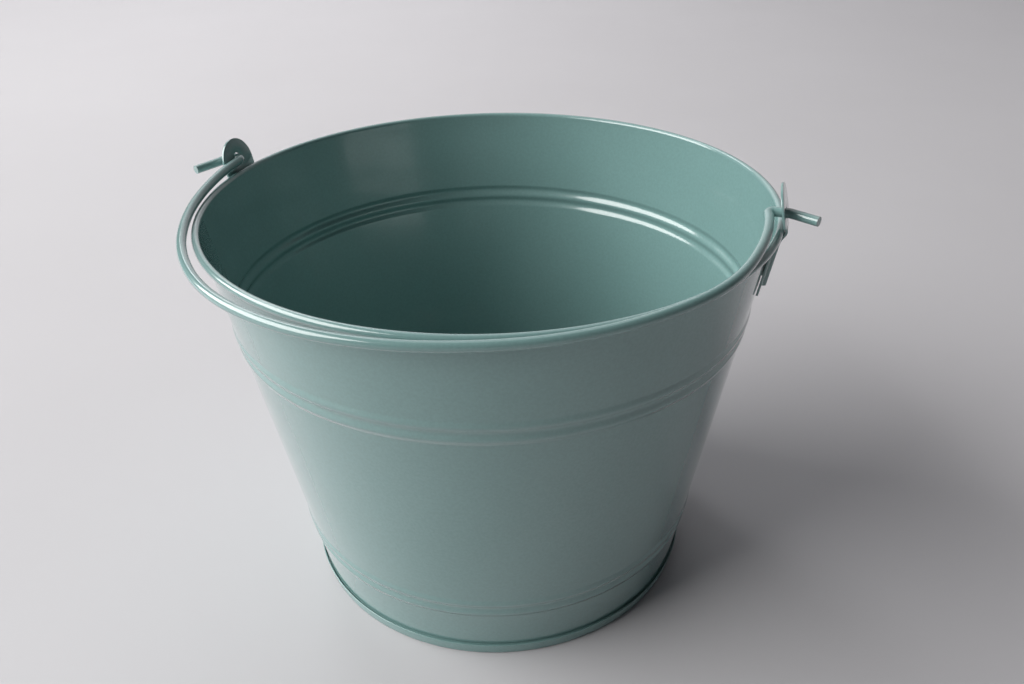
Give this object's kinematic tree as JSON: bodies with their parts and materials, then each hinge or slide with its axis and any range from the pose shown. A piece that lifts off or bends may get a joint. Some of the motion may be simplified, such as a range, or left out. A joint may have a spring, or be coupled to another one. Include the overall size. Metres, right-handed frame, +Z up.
{
  "type": "florist bucket",
  "caption": "Small conical sheet-metal bucket with a rolled rim, pressed double ribs, stamped ears and a plain wire bail folded down on the rim.",
  "frame": {"origin": "the bucket's axis, at the level of the floor that its base ring stands on", "axes": "+Z up along the bucket's axis; +X along the bail's pivot axis, from the left ear to the right ear; -Y towards the side of the rim that the folded bail rests on"},
  "size_m": [0.2439, 0.2253, 0.176],
  "materials": {
    "wall_powder_coat": "glossy sage-green powder coat",
    "base_powder_coat": "glossy sage-green powder coat",
    "ear_powder_coat": "glossy sage-green powder coat",
    "bail_powder_coat": "glossy sage-green powder coat on wire"
  },
  "bodies": {
    "bucket": {"bucket_wall": "wall_powder_coat", "base": "base_powder_coat", "ear_left": "ear_powder_coat", "ear_right": "ear_powder_coat"},
    "bail": {"bail": "bail_powder_coat"}
  },
  "joints": [
    {"name": "bail_swing", "type": "hinge", "parent": "bucket", "child": "bail", "pos_m": [0, 0, 0.1655], "axis": [-1, 0, 0], "range_deg": [0, 185.84]}
  ]
}
